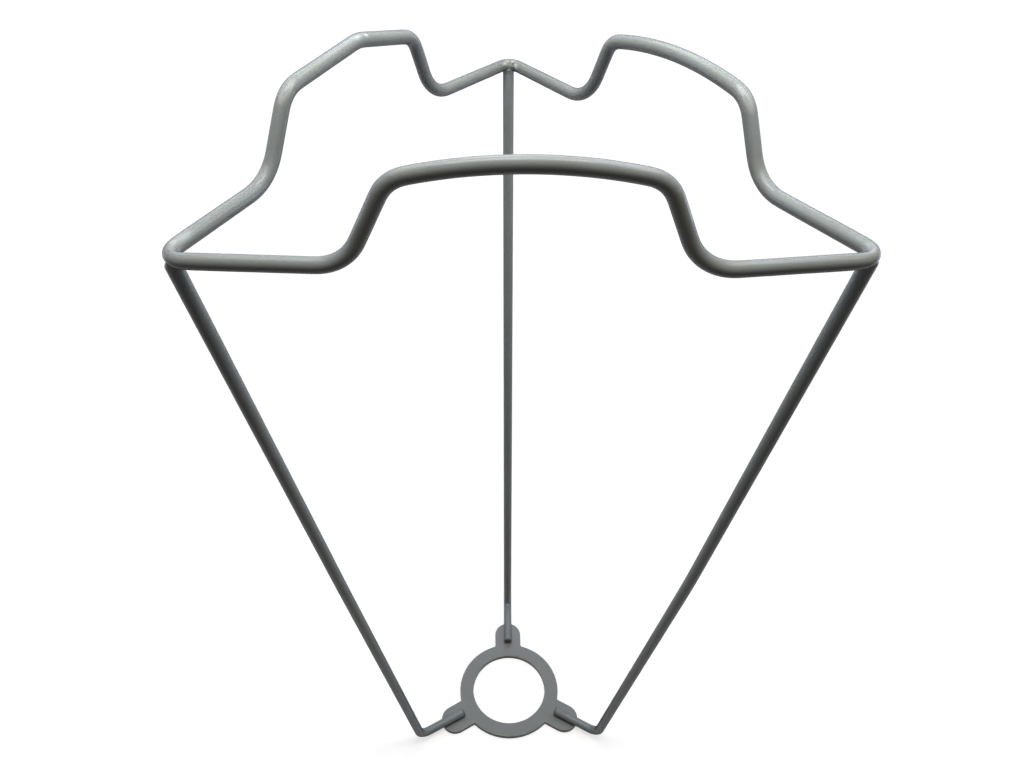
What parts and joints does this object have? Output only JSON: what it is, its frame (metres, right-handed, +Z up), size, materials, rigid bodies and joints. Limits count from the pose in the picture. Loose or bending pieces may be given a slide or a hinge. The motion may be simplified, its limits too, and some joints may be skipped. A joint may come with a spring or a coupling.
{
  "type": "lamp shade carrier",
  "caption": "Coated wire frame that stands on a lampholder by a lugged fitter ring and carries a shade on the raised bridges of its three-sided top wire.",
  "frame": {"origin": "on the axis of the lampholder hole, at the underside of the fitter ring", "axes": "+Z up the hole's axis towards the top wire, +Y towards the back leg, +X to the right"},
  "size_m": [0.1318, 0.116, 0.2464],
  "materials": {
    "ring_coating": "satin light grey coating over stamped steel sheet",
    "wire_coating": "satin light grey coating over drawn steel wire",
    "weld_coating": "satin light grey coating over weld metal"
  },
  "bodies": {
    "root": {"fitter_ring": "ring_coating", "leg_back": "wire_coating", "leg_left": "wire_coating", "leg_right": "wire_coating", "top_wire": "wire_coating", "lug_welds": "weld_coating", "corner_weld_back": "weld_coating", "corner_weld_left": "weld_coating", "corner_weld_right": "weld_coating"}
  },
  "joints": []
}
